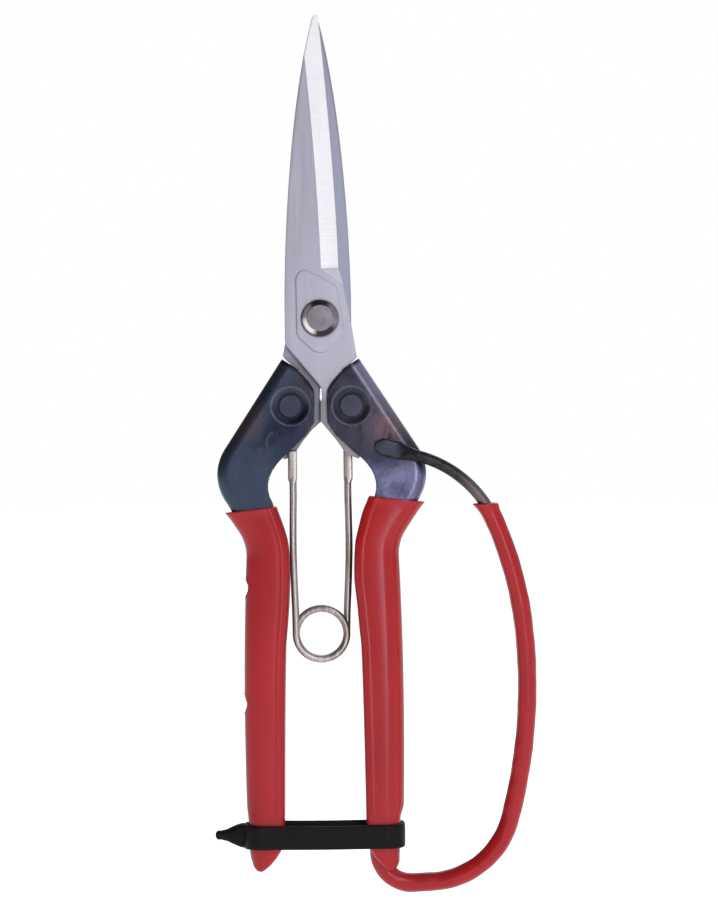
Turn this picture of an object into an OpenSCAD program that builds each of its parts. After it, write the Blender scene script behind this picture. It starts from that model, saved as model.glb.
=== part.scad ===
// Floral snips with a finger guard: two riveted blades in dipped channel
// handles, a wire spring between the handles and a rubber keeper round them.
// Drawn closed and upright. The origin is the centre of the pivot rivet's
// rear face, +Z runs to the blade tips, +X to the guard, -Y to the front.

/* [Blades] */
// Height of the blade tips above the pivot
tip_height = 71; // [55:0.5:90]
// Thickness of each blade
blade_thickness = 2.2; // [1.5:0.1:3]
// Gap between the two blades
blade_gap = 0.1; // [0.05:0.05:0.3]
// Distance from the pivot to the front blade's spine
front_spine = 8.2; // [7:0.1:10]
// Distance from the pivot to the rear blade's spine
rear_spine = 7.3; // [6:0.1:10]
// Width of the ground bevel along the cutting edge
bevel_width = 4; // [2:0.1:6]
// Thickness left at the cutting edge
edge_thickness = 0.3; // [0.1:0.05:0.6]
// Height of the heel of the bevel above the pivot
bevel_heel = 11.7; // [8:0.1:16]
// Radius of the cutting edge's long curve
edge_radius = 740; // [300:10:1500]
// Height of the pressed pad round the pivot
pad_height = 0.35; // [0.1:0.05:0.6]

/* [Pivot] */
// Diameter of the rivet's head
rivet_head = 8.5; // [6:0.1:12]
// Diameter of the flat top of the head
rivet_flat = 5.9; // [4:0.1:8]
// Diameter of the rivet's shank
rivet_shank = 5; // [3:0.1:7]
// Radial clearance of the rear blade on the shank
running_clearance = 0.05; // [0.02:0.01:0.1]

/* [Handles] */
// Sheet thickness of the channel
sheet = 1.1; // [0.8:0.1:2]
// Depth of the channel from front to back
channel_depth = 7; // [5:0.1:10]
// Outer radius along the channel's folded edge
fold_radius = 2.6; // [1.5:0.1:3.5]
// Outward slope of the shoulder, from straight down
shoulder_angle = 33; // [20:1:45]
// Outer radius of the elbow
elbow_radius = 11; // [6:0.5:18]
// Inward slope below the elbow, from straight down
waist_angle = 31; // [15:1:40]
// Radius of the bend into the grip
waist_radius = 12; // [6:0.5:25]
// Radius of the grip's slight outward bow
bow_radius = 860; // [300:10:2000]
// Distance of the grips' lower ends below the pivot
handle_end = 128.6; // [110:0.1:140]

/* [Grips] */
// Thickness of the dipped coating
coat = 1; // [0.5:0.1:2]
// Distance of the left grip's upper edge below the pivot
left_grip_top = 43.6; // [38:0.1:55]
// Distance of the right grip's upper edge below the pivot
right_grip_top = 41.4; // [38:0.1:55]
// Width of the groove left open along the inside of each grip
groove_width = 3.8; // [2:0.1:4.2]

/* [Spring] */
// Diameter of the spring wire
wire = 1.7; // [1:0.1:2.4]
// Mean radius of the coil
coil_radius = 5.9; // [4:0.05:8]
// Distance of the coil's centre below the pivot
coil_drop = 73.6; // [60:0.1:90]
// Distance of the leg ends below the pivot
socket_drop = 31; // [28:0.1:36]
// Half the distance between the leg ends
socket_side = 6.5; // [5:0.1:8]
// Sideways offset of the whole spring
spring_offset = -0.45; // [-1:0.05:1]
// Width of the flattened ends
paddle_width = 2; // [1.5:0.1:3]
// Length of the flattened ends
paddle_length = 6.5; // [4:0.5:12]

/* [Guard] */
// Diameter of the guard's bare rod
rod = 2.7; // [2:0.1:4]
// Outside diameter of the guard's sleeve
sleeve = 4.4; // [3.4:0.1:6]
// Length of bare rod between the weld and the sleeve's bend
rod_run = 8.8; // [6:0.5:20]
// Radius of the guard's upper bend
upper_bend = 27; // [12:0.5:30]
// Radius of the upper part of the guard's long side
side_bend = 86; // [60:1:160]
// Radius of the lower part of the guard's long side
bottom_bend = 122; // [60:1:160]
// Radius of the guard's lower outer bend
lower_bend = 19.7; // [12:0.1:30]
// Radius of the bend up into the right handle
return_bend = 7.6; // [5:0.1:12]

/* [Keeper] */
// Height of the rubber band
band_height = 5.6; // [4:0.1:10]
// Thickness of the rubber band
band_thickness = 1.2; // [0.8:0.1:3]
// Distance of the band's middle below the pivot
band_drop = 120.6; // [100:0.1:124]
// Length of the pull tab
tab_length = 6.5; // [3:0.1:12]
// Sideways offset of the whole band
band_offset = -0.3; // [-1:0.05:1]

/* [Hidden] */

steel = [0.70, 0.70, 0.75];
blued = [0.16, 0.20, 0.30];
vinyl = [0.72, 0.10, 0.13];
dark_wire = [0.45, 0.40, 0.38];
rubber = [0.06, 0.06, 0.07];

// Everything is drawn flat, x to the right and y to the tips, with depth
// rising from the rear face towards the front, then stood upright.
total_depth = channel_depth + 2 * coat;
mid_depth = total_depth / 2;
half_channel = channel_depth / 2;
blade_rise = blade_gap / 2;
front_face = mid_depth + blade_rise + blade_thickness;
rear_pad_face = total_depth - front_face - pad_height;
head_thickness = rear_pad_face - running_clearance;
chamfer = (rivet_head - rivet_flat) / 2;
smooth = 64;
fine = 96;
round_wire = 24;
joint_flare = 0.06;
skim = 0.03;

// The channel's outer edge: a start, then runs of [length, 0] and bends of
// [radius, turn], a positive turn being to the left.
shoulder_start = [8.7, -8.85];
shoulder_heading = shoulder_angle - 90;
shoulder_run = 25.58;
waist_run = 8.3;
bow_turn = 4.9;
shoulder = [
    [shoulder_run, 0],
    [elbow_radius, -(shoulder_angle + waist_angle)],
    [waist_run, 0],
    [waist_radius, waist_angle + bow_turn / 2],
    [bow_radius, -bow_turn]
];
shoulder_gap = 0.6;
corner_run = 3;

// The guard's centre line, drawn clockwise from the weld.
weld = [14, -30];
guard_heading = -15.3;
guard_path = [
    [rod_run, 0],
    [upper_bend, -51.4],
    [side_bend, -17.4],
    [bottom_bend, -21.2],
    [lower_bend, -72],
    [4.6, 0],
    [return_bend, -90.7],
    [3, 0]
];
bare_turn = 41;
rod_tilt = 3.06;
weld_tab = [5, 4, 1.4];
keeper_inner = 17.7;
keeper_corner = 3.4;
weld_depth = total_depth - coat;

tang_rivet_at = [7.1, -20.4];
tang_shank = 4;
tang_head = 5.4;
dish_floor = 6.4;
dish_mouth = 9;
dish_depth = 0.7;
tang_head_rise = 0.45;

coil_turns = 1.5;
coil_pitch = wire + 0.06;
left_depth = mid_depth + coil_turns * coil_pitch / 2;
right_depth = mid_depth - coil_turns * coil_pitch / 2;

function step(pose, piece) =
    let (
        turn = piece[1],
        side = sign(turn),
        along = turn == 0 ? piece[0] : piece[0] * sin(abs(turn)),
        across = turn == 0 ? 0 : side * piece[0] * (1 - cos(turn)),
        heading = pose[2]
    )
    [
        pose[0] + along * cos(heading) - across * sin(heading),
        pose[1] + along * sin(heading) + across * cos(heading),
        heading + turn
    ];

function pose_at(path, start, count) =
    count == 0 ? start : step(pose_at(path, start, count - 1), path[count - 1]);

// Points of a path shifted sideways, to the left when the shift is positive
function shifted(path, start, shift, steps) = [
    for (i = [0 : len(path) - 1])
        for (k = [0 : path[i][1] == 0 ? 0 : steps - 1])
            let (
                begin = pose_at(path, start, i),
                here = k == 0 ? begin : step(begin, [path[i][0], path[i][1] * k / steps])
            )
            [here[0] - shift * sin(here[2]), here[1] + shift * cos(here[2])]
];

function bezier(a, b, c, d, steps) = [
    for (k = [0 : steps])
        let (t = k / steps, s = 1 - t)
        s * s * s * a + 3 * s * s * t * b + 3 * s * t * t * c + t * t * t * d
];

function backwards(points) = [for (i = [len(points) - 1 : -1 : 0]) points[i]];

module upright() {
    rotate([90, 0, 0]) children();
}

module plate(low, high) {
    translate([0, 0, low]) linear_extrude(high - low) children();
}

// Turns a half of the snips into the other half, front to back and side to side
module half_turn() {
    translate([0, 0, mid_depth]) rotate([0, 180, 0]) translate([0, 0, -mid_depth]) children();
}

// Sweeps a section along one run or bend; x is to the left, y to the front
module run(pose, piece, depth) {
    turn = piece[1];
    nick = turn == 0 ? 0.01 : 0.6 / piece[0];
    facets = piece[0] > 200 ? 8 * fine : fine;
    translate([pose[0], pose[1], depth]) rotate([0, 0, pose[2]]) {
        if (turn == 0) {
            translate([nick, 0, 0]) rotate([90, 0, 90])
                linear_extrude(piece[0] - 2 * nick) children();
        } else if (turn < 0) {
            translate([0, -piece[0], 0]) rotate([0, 0, 90 + turn + nick])
                rotate_extrude(angle = -turn - 2 * nick, $fn = facets)
                    translate([piece[0], 0]) children();
        } else {
            translate([0, piece[0], 0]) rotate([0, 0, nick - 90])
                rotate_extrude(angle = turn - 2 * nick, $fn = facets)
                    translate([piece[0], 0]) mirror([1, 0]) children();
        }
    }
}

// A path's runs and bends, with a slightly larger collar let into each joint
module sweep(path, start, depth) {
    collar = 0.5;
    for (i = [0 : len(path) - 1])
        run(pose_at(path, start, i), path[i], depth) children(0);
    for (i = [1 : len(path) - 1]) {
        pose = pose_at(path, start, i);
        translate([pose[0], pose[1], depth]) rotate([0, 0, pose[2]])
            translate([-collar / 2, 0, 0]) rotate([90, 0, 90])
                linear_extrude(collar) children(1);
    }
}

// A round wire along a path, with a collar let into each joint
module wire_path(path, start, diameter, flare) {
    gap = 0.02;
    for (i = [0 : len(path) - 1]) {
        pose = pose_at(path, start, i);
        turn = path[i][1];
        radius = path[i][0];
        side = sign(turn);
        nick = 60 * gap / radius;
        if (i > 0)
            translate([pose[0], pose[1], 0]) rotate([0, 0, pose[2]])
                translate([-0.25, 0, 0]) rotate([0, 90, 0])
                    cylinder(d = diameter + flare, h = 0.5, $fn = round_wire);
        translate([pose[0], pose[1], 0]) rotate([0, 0, pose[2]]) {
            if (turn == 0)
                translate([gap, 0, 0]) rotate([0, 90, 0])
                    cylinder(d = diameter, h = radius - 2 * gap, $fn = round_wire);
            else
                translate([0, side * radius, 0])
                    rotate([0, 0, min(-side * 90, -side * 90 + turn) + nick])
                        rotate_extrude(angle = abs(turn) - 2 * nick, $fn = fine)
                            translate([radius, 0]) circle(d = diameter, $fn = round_wire);
        }
    }
}

// ---------------------------------------------------------------- blades

// Outline of a blade that lies in front and carries its tang to the right.
// The two blades differ a little in spine, tip, shoulder flare and tang.
function blade_outline(spine, tip_side, point, flare, tang) =
    let (
        tip = [tip_side, tip_height],
        heel = [4.45, bevel_heel]
    )
    concat(
        [[8.4 + flare, -8.5], [7.4, -2], [5.8, 6.3], [5.1, 9.8]],
        bezier(heel, [4, 30], [1.9, 55], tip + [0.55, -0.5], 10),
        [tip + [0.25, 0], tip + [-0.3, -0.05]],
        backwards(bezier(
            [-spine, 5],
            [-spine + 0.3, 25],
            [-spine + 2.3, 52],
            tip + [-point, -0.7],
            14
        )),
        [[-spine, -5.2], [-spine + 0.35, -6.4], [-0.4, -15.4], [0.2, -16.4], [0.3, -18.6]],
        [[-0.1, -19.6], [-0.1, -23.9], [1.9 + tang, -25.8], [4.2 + tang, -28.6]],
        [[6.2 + tang, -31.6], [8.6, -32.8], [13.4, -28], [14.7, -22.9], [6.9, -10.9]],
        [[7.1, -10.4], [8.5, -9.1]]
    );

module pad_outline() {
    polygon([
        [-5.1, 10.2], [-4.4, 11], [-3.3, 11.2], [-2.4, 10.9], [3.6, 7.7], [4, 6.9],
        [5.7, -3], [5.4, -4], [1.8, -7.5], [0.6, -8], [-0.6, -7.9], [-1.8, -7.4],
        [-4.8, -4.6], [-5.4, -3.4], [-5.5, 9.2]
    ]);
}

// Wedge that the grinder takes off along the cutting edge
module bevel_cut() {
    centre = [4.45 - edge_radius * cos(1.9), bevel_heel - edge_radius * sin(1.9)];
    removed = blade_thickness - edge_thickness;
    arc = 5;
    translate([centre[0], centre[1], 0]) rotate([0, 0, 1.9])
        rotate_extrude(angle = arc, $fn = 720) polygon([
            [edge_radius - bevel_width, front_face],
            [edge_radius - bevel_width, front_face + 1],
            [edge_radius + 4, front_face + 1],
            [edge_radius + 4, front_face - removed * (bevel_width + 4) / bevel_width]
        ]);
}

// Slanted facet that runs out from the bevel's heel to the blade's side
module heel_facet() {
    facet_slope = 25;
    facet_turn = 36;
    intersection() {
        translate([0.5, bevel_heel, front_face]) rotate([0, 0, -facet_turn])
            rotate([-facet_slope, 0, 0]) cube([12, 6, 3]);
        plate(0, total_depth + 3) translate([-1, bevel_heel - 9.95]) square([12, 10]);
    }
}

module blade(outline) {
    difference() {
        union() {
            plate(mid_depth + blade_rise, front_face) polygon(outline);
            plate(front_face, front_face + pad_height) pad_outline();
        }
        bevel_cut();
        heel_facet();
        translate([tang_rivet_at[0], tang_rivet_at[1], 0])
            cylinder(d = tang_shank, h = total_depth, $fn = smooth);
        children();
    }
}

module front_blade() {
    color(steel) upright() blade(blade_outline(front_spine, -0.25, 0.85, 0, -0.5))
        cylinder(d = rivet_shank, h = total_depth, $fn = smooth);
}

module rear_blade() {
    color(steel) upright() half_turn() blade(blade_outline(rear_spine, 0.2, 0.45, 0.4, 0.2))
        cylinder(d = rivet_shank + 2 * running_clearance, h = total_depth, $fn = smooth);
}

module rivet_head_blank() {
    cylinder(d1 = rivet_flat, d2 = rivet_head, h = chamfer * 0.8, $fn = smooth);
    translate([0, 0, chamfer * 0.8])
        cylinder(d = rivet_head, h = head_thickness - chamfer * 0.8, $fn = smooth);
}

module pivot_rivet() {
    color(dark_wire) upright() {
        rivet_head_blank();
        cylinder(d = rivet_shank, h = front_face + pad_height + 0.5, $fn = smooth);
        translate([0, 0, front_face + pad_height + head_thickness]) mirror([0, 0, 1])
            rivet_head_blank();
    }
}

// --------------------------------------------------------------- handles

module rounded_edge(reach, half, radius) {
    for (side = [-1, 1])
        translate([-radius, side * (half - radius)]) circle(radius, $fn = smooth);
    translate([-radius, radius - half]) square([radius, 2 * (half - radius)]);
    translate([-reach, -half]) square([reach - radius, 2 * half]);
}

// The shoulder's pose after part of its first run, and the path from there
function shoulder_pose(along) =
    step(concat(shoulder_start, shoulder_heading), [along, 0]);

function shoulder_below(along) =
    concat([[shoulder_run - along, 0]], [for (i = [1 : 4]) shoulder[i]]);

module fold_section(grow) {
    difference() {
        translate([grow, 0])
            rounded_edge(fold_radius + 2, half_channel + grow, fold_radius + grow);
        translate([-sheet - grow, 0])
            rounded_edge(fold_radius + 3, half_channel - sheet - grow, fold_radius - sheet - grow);
    }
}

// Inner edge of the channel's walls, let out all round by a margin
function inner_edge(out) = concat(
    bezier([8.2 - out, -31.6], [12 - out, -34.6], [14.2 - out, -38.8], [11.6 - out, -43.1], 8),
    bezier([11.5 - out, -43.5], [8.2 - out, -49.5], [8.1 - out, -60], [9.65 - out, -75], 8),
    bezier([9.75 - out, -76], [10.2 - out, -90], [10.3 - out, -105], [10.5 - out, -119], 6)
);

function wall_outline(inset, out) = concat(
    shifted(shoulder_below(corner_run), shoulder_pose(corner_run), -inset, 12),
    [[13.4, -handle_end], [11 - out, -handle_end]],
    backwards(inner_edge(out)),
    [[3.5, -27.2], [1.6, -24.2], [1.45, -18.8], [1.6, -16.6], [2.6, -14.9]],
    [[4.4, -12.9], [5.3, -12.05], [7, -11.1]]
);

// What is cut away below a handle's slanted lower end
module end_cut(rise) {
    plate(-1, total_depth + 1) translate([0, rise]) polygon([
        [5, 6 - handle_end], [10.3, 6 - handle_end], [11.8, 2.9 - handle_end],
        [13.6, 0.9 - handle_end], [15.4, -handle_end], [16.7, 0.7 - handle_end],
        [17.5, 2.7 - handle_end], [17.9, 6 - handle_end], [18.6, 12 - handle_end],
        [25, 12 - handle_end],
        [25, -handle_end - 10], [5, -handle_end - 10]
    ]);
}

module dish() {
    cylinder(d1 = dish_mouth, d2 = dish_floor, h = dish_depth + 0.003, $fn = smooth);
}

module at_tang_rivet(depth) {
    translate([tang_rivet_at[0], tang_rivet_at[1], depth]) children();
}

module channel() {
    front_wall = mid_depth + half_channel;
    difference() {
        union() {
            sweep(shoulder_below(shoulder_gap), shoulder_pose(shoulder_gap), mid_depth) {
                fold_section(0);
                fold_section(0.02);
            }
            for (low = [coat, front_wall - sheet])
                plate(low + skim, low + sheet - skim) polygon(wall_outline(fold_radius + 1, 0));
        }
        at_tang_rivet(coat - 0.001) dish();
        at_tang_rivet(front_wall + 0.001) mirror([0, 0, 1]) dish();
        at_tang_rivet(0) cylinder(d = tang_shank, h = total_depth, $fn = smooth);
        end_cut(coat);
    }
}

module tang_rivet() {
    front_wall = mid_depth + half_channel;
    at_tang_rivet(coat + dish_depth - tang_head_rise)
        cylinder(d = tang_head, h = tang_head_rise, $fn = smooth);
    at_tang_rivet(front_wall - dish_depth)
        cylinder(d = tang_head, h = tang_head_rise, $fn = smooth);
    at_tang_rivet(coat + dish_depth - 0.1)
        cylinder(d = tang_shank, h = channel_depth - 2 * dish_depth + 0.2, $fn = smooth);
}

module right_handle() {
    color(blued) upright() channel();
}

module left_handle() {
    color(blued) upright() half_turn() channel();
}

module right_tang_rivet() {
    color(blued) upright() tang_rivet();
}

module left_tang_rivet() {
    color(blued) upright() half_turn() tang_rivet();
}

// ----------------------------------------------------------------- grips

module grip_section(grow) {
    translate([coat + grow, 0]) rounded_edge(
        fold_radius + coat + 1.5,
        mid_depth - 2 * skim + grow,
        fold_radius + coat - 2 * skim + grow
    );
}

module grip_blank(top) {
    pose = concat(shoulder_start, shoulder_heading);
    difference() {
        union() {
            sweep([for (i = [2 : 4]) shoulder[i]], pose_at(shoulder, pose, 2), mid_depth) {
                grip_section(0);
                grip_section(0.02);
            }
            plate(0, total_depth) polygon(wall_outline(fold_radius + 0.5, coat));
        }
        translate([-1, -top, -1]) rotate([0, 0, -3]) cube([40, 60, total_depth + 2]);
        end_cut(0);
    }
}

module grip(top) {
    difference() {
        grip_blank(top);
        channel();
        plate(mid_depth - groove_width / 2, mid_depth + groove_width / 2)
            polygon(wall_outline(sheet + 0.4, 4));
    }
}

// Room for the guard's sleeve where it runs up into the right handle
module sleeve_room() {
    half = half_channel - sheet + skim + 0.01;
    top = 118.8;
    plate(mid_depth - half, mid_depth + half) polygon([
        [4, -top], [14.7, -top], [14.7, -124.9], [14.95, -126.1], [15.35, -127.1],
        [15.98, -128], [16.85, -128.8], [18.1, -129.5], [18.1, -136], [4, -136]
    ]);
}

// Groove worn in both grips under the keeper
module keeper_seat() {
    height = band_height + 0.3;
    depth = 0.15;
    translate([band_offset, 0, -band_drop - height / 2]) linear_extrude(height) mirror([0, 1])
        difference() {
            translate([-30, -5]) square([60, total_depth + 10]);
            rounded_box(keeper_inner - 0.05, depth, total_depth - depth, keeper_corner);
        }
}

module right_grip() {
    color(vinyl) difference() {
        upright() difference() {
            grip(right_grip_top);
            sleeve_room();
        }
        keeper_seat();
    }
}

// Shallow oval marks left in the coating where it hung while it set
module hanging_mark(drop) {
    length = 4.2;
    depth = 0.5;
    radius = length * length / 8 / depth;
    bow = pose_at(shoulder, concat(shoulder_start, shoulder_heading), 4);
    bow_centre = [bow[0], bow[1]] + bow_radius * [sin(bow[2]), -cos(bow[2])];
    face = bow_centre[0] + sqrt(bow_radius * bow_radius - pow(drop + bow_centre[1], 2)) + coat;
    translate([face - depth + radius, -drop, mid_depth - 1.2])
        cylinder(r = radius, h = 2.4, $fn = smooth);
}

module left_grip() {
    color(vinyl) difference() {
        upright() half_turn() difference() {
            grip(left_grip_top);
            for (drop = [62.7, 89.7]) hanging_mark(drop);
        }
        keeper_seat();
    }
}

// ----------------------------------------------------------------- guard

module guard_frame() {
    translate([weld[0], weld[1], weld_depth + rod / 2 + 0.2])
        rotate([rod_tilt, 0, 0]) children();
}

module guard_wire(slack) {
    wire_path(guard_path, [0, 0, guard_heading], rod + slack, joint_flare);
}

module guard_rod() {
    color(blued) upright() {
        guard_frame() guard_wire(0);
        translate([weld[0], weld[1], weld_depth]) rotate([0, 0, guard_heading])
            translate([-1, -weld_tab[1] / 2, 0]) cube(weld_tab);
    }
}

module guard_sleeve() {
    start = [0, 0, guard_heading];
    rest = concat(
        [[upper_bend, guard_path[1][1] + bare_turn]],
        [for (i = [2 : len(guard_path) - 1]) guard_path[i]]
    );
    from = step(pose_at(guard_path, start, 1), [upper_bend, -bare_turn]);
    color(vinyl) upright() guard_frame() difference() {
        wire_path(rest, from, sleeve, joint_flare);
        guard_wire(0.05);
    }
}

// ---------------------------------------------------------------- spring

module half_coil(depth, upper) {
    lean = atan(coil_pitch / 4 / coil_radius);
    ring = sqrt(coil_radius * coil_radius + coil_pitch * coil_pitch / 16);
    nick = 0.1;
    translate([0, -coil_drop, depth]) rotate([0, upper ? -lean : lean, 0])
        rotate([0, 0, upper ? nick : 180 + nick])
            rotate_extrude(angle = 180 - 2 * nick, $fn = fine)
                translate([ring, 0]) circle(d = wire, $fn = round_wire);
}

module beside() {
    translate([spring_offset, 0, 0]) children();
}

module coil_joint(side, depth) {
    translate([side * coil_radius, -coil_drop, depth])
        sphere(d = wire + joint_flare, $fn = round_wire);
}

module spring_leg(side, depth) {
    foot = [side * coil_radius, -coil_drop];
    knee = [side * socket_side, -socket_drop - paddle_length];
    reach = knee - foot;
    translate([foot[0], foot[1], depth]) rotate([0, 0, -atan(reach[0] / reach[1])])
        translate([0, 0.02, 0]) rotate([-90, 0, 0])
            cylinder(d = wire, h = norm(reach), $fn = round_wire);
    translate([knee[0] - paddle_width / 2, knee[1] - 1, depth - wire * 0.3])
        cube([paddle_width, paddle_length + 1, wire * 0.6]);
}

module spring_left_leg() {
    color(dark_wire) upright() beside() {
        spring_leg(-1, left_depth);
        coil_joint(-1, left_depth);
        half_coil(left_depth - coil_pitch / 4, false);
        coil_joint(1, left_depth - coil_pitch / 2);
        half_coil(left_depth - coil_pitch * 3 / 4, true);
    }
}

module spring_right_leg() {
    color(dark_wire) upright() beside() {
        spring_leg(1, right_depth);
        coil_joint(1, right_depth);
        half_coil(right_depth + coil_pitch / 4, false);
    }
}

// ---------------------------------------------------------------- keeper

module rounded_box(half_x, low, high, radius) {
    for (x = [-1, 1])
        for (y = [low + radius, high - radius])
            translate([x * (half_x - radius), y]) circle(radius, $fn = smooth);
    translate([-half_x, low + radius]) square([2 * half_x, high - low - 2 * radius]);
    translate([radius - half_x, low]) square([2 * (half_x - radius), high - low]);
}

module keeper_loop() {
    snug = 0.1;
    root = band_height / 2;
    shoulder_end = 2.2;
    neck = 0.8;
    color(rubber) translate([band_offset, 0, -band_drop]) {
        translate([0, 0, -root]) linear_extrude(band_height) mirror([0, 1]) difference() {
            rounded_box(
                keeper_inner + band_thickness, -band_thickness,
                total_depth + band_thickness, keeper_corner + band_thickness
            );
            rounded_box(keeper_inner, snug, total_depth - snug, keeper_corner);
        }
        upright() plate(mid_depth - 1.5, mid_depth + 1.5)
            translate([-keeper_inner - band_thickness / 2, 0]) polygon(concat(
                [[0, root]],
                bezier([-shoulder_end, root], [-4, 2.2], [-4.6, 1], [-tab_length, neck], 8),
                bezier([-tab_length, neck], [-tab_length - 1, 0.5],
                    [-tab_length - 1, -0.5], [-tab_length, -neck], 6),
                bezier([-tab_length, -neck], [-4.6, -1], [-4, -2.2], [-shoulder_end, -root], 8),
                [[0, -root]]
            ));
    }
}

front_blade();
rear_blade();
pivot_rivet();
left_handle();
right_handle();
left_tang_rivet();
right_tang_rivet();
left_grip();
right_grip();
guard_rod();
guard_sleeve();
spring_left_leg();
spring_right_leg();
keeper_loop();
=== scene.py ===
import math

import bmesh
import bpy
import numpy as np
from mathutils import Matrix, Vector


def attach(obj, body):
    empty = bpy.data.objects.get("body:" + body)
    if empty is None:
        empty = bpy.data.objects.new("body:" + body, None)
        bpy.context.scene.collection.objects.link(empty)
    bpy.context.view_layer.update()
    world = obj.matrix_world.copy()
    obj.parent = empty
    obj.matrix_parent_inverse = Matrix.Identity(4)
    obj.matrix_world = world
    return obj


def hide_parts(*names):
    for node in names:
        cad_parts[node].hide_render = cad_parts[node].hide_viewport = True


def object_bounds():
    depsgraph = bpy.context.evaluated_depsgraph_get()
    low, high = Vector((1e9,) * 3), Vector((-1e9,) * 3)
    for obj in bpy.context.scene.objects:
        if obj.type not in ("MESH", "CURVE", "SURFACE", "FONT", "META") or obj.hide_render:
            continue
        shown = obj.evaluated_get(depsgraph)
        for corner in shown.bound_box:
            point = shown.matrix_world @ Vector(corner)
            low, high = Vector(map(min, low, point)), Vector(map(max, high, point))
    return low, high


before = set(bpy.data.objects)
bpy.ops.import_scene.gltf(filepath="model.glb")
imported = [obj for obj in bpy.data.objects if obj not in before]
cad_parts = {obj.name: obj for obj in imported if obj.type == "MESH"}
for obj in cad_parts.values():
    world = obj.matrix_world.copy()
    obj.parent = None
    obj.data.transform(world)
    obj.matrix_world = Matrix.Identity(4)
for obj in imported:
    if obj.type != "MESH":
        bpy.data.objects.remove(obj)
cad_box = [list(corner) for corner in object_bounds()]

# ---------------------------------------------------------------- dimensions
# Millimetres and degrees in a flat drawing, as in the CAD source: x runs to the guard's side,
# z to the tips and depth from the rear faces to the front. to_world turns them into the
# frame's metres. The left half is the right half given a half turn.
MM = 0.001
X, Y, Z = 0, 1, 2
DEPTH = 9.0
MID = DEPTH / 2
COAT = 1.0
CHANNEL_FRONT = DEPTH - COAT

# A path starts at (x, z, heading) and is made of (length, 0) runs and (radius, turn) bends.
SHOULDER_START = (8.7, -8.85, -57.0)
SHOULDER = [(25.58, 0), (11.0, -64.0), (8.3, 0), (12.0, 33.45), (860.0, -4.9)]
GUARD_START = (14.0, -30.0, -15.3)
GUARD = [(8.8, 0), (27, -51.4), (86, -17.4), (122, -21.2), (19.7, -72), (4.6, 0), (7.6, -90.7), (3, 0)]

# Where the steel's colours change: points (x, z), how far a shoulder's outer side moves out for
# each millimetre down, and how many degrees the lines across its two cut edges fall
PIVOT = (0.0, 0.0)
TANG_RIVET = (7.1, -20.4)
WELD = (13.0, -26.5)
WELD_HEAT = (15.0, -25.0)
SHOULDER_LEAN = 0.65
UPPER_CUT = 57.0
NECK_CUT = 37.1

# Dipped grips, with drops below the pivot
HANDLE_END = 128.6
RIGHT_GRIP_TOP = 42.15
LEFT_GRIP_TOP = 44.4
MOUTH_SLOPE = -0.115
MOUTH_MID = 16.5
HANGING_MARKS = (62.7, 89.7)
MARK_DEPTH = 0.80
MARK_HALF_HIGH, MARK_HALF_DEEP = 2.0, 2.3
# How a grip's lower end is cut: height above the end, inner edge and outer edge
END_RISE = (0.0, 0.35, 0.9, 1.6, 2.9, 4.3, 6.0, 9.0, 12.0)
END_IN = (14.6, 14.0, 13.3, 12.6, 11.5, 10.6, 9.7, 9.5, 9.5)
END_OUT = (15.9, 16.4, 16.85, 17.15, 17.55, 17.75, 17.9, 18.3, 18.6)

# Finger guard
ROD = 2.7
SLEEVE = 4.4
BARE_TURN = 41.0
GUARD_TILT = math.radians(3.06)
GUARD_DEPTH = CHANNEL_FRONT + ROD / 2 + 0.2
ROD_SEEN = 47.0
PAD_WIDE = 2.0
PAD_DEEP = 0.62

# Spring: where each foot sits, and the coil
WIRE = 1.7
SOCKET_X, SOCKET_DROP = 6.5, 31.0
COIL_DROP = 73.6
COIL_RADIUS = 5.9
SPRING_SHIFT = -0.45
LEFT_DEPTH = 5.82
RIGHT_DEPTH = 3.18
COIL_JOIN_DEPTH = 4.06
FOOT_WIDE, FOOT_DEEP = 1.06, 0.50

# Keeper, the band round both grips and its pull tab
BAND_DROP = 120.6
BAND_HEIGHT = 5.6
BAND_THICKNESS = 1.2
BAND_INNER = 17.7
BAND_CORNER = 3.4
BAND_SHIFT = -0.3
TAB_NECK = 6.4
TAB_TIP = 0.8
TAB_DEEP = 2.2

# Camera: straight in front but for a slight roll, far enough back to match the photo
VIEW_CENTRE = (8.76, -31.7)
VIEW_ROLL = 0.65
VIEW_DISTANCE = 600.0
VIEW_HEIGHT = 212.38
SENSOR = 36
FLOOR_GAP = 22.0


# ---------------------------------------------------------------- geometry helpers
def advance(pose, size, turn, share):
    """The pose after a share of a run (turn 0, size its length) or a bend (size its radius)."""
    x, z, heading = pose
    h = math.radians(heading)
    if turn == 0:
        along, across = size * share, 0.0
    else:
        t = math.radians(abs(turn * share))
        along = size * math.sin(t)
        across = math.copysign(size * (1 - math.cos(t)), turn)
    return (
        x + along * math.cos(h) - across * math.sin(h),
        z + along * math.sin(h) + across * math.cos(h),
        heading + turn * share,
    )


def trace(path, start, shift=0.0, spacing=0.5):
    """Rows of x, z and heading along a path, shifted to its left."""
    pose, poses = start, []
    for size, turn in path:
        length = size if turn == 0 else size * math.radians(abs(turn))
        steps = max(2, int(length / spacing))
        poses += [advance(pose, size, turn, k / steps) for k in range(steps)]
        pose = advance(pose, size, turn, 1)
    rows = np.array([*poses, pose])
    h = np.radians(rows[:, 2])
    rows[:, 0] -= shift * np.sin(h)
    rows[:, 1] += shift * np.cos(h)
    return rows


def bezier(a, b, c, d, steps=24):
    t = np.linspace(0, 1, steps + 1)[:, None]
    a, b, c, d = (np.array(p, float) for p in (a, b, c, d))
    return (1 - t) ** 3 * a + 3 * (1 - t) ** 2 * t * b + 3 * (1 - t) * t * t * c + t**3 * d


def arc(centre, half_x, half_y, start, stop, count):
    a = np.radians(np.linspace(start, stop, count))
    return np.stack([centre[0] + half_x * np.cos(a), centre[1] + half_y * np.sin(a)], axis=-1)


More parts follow.
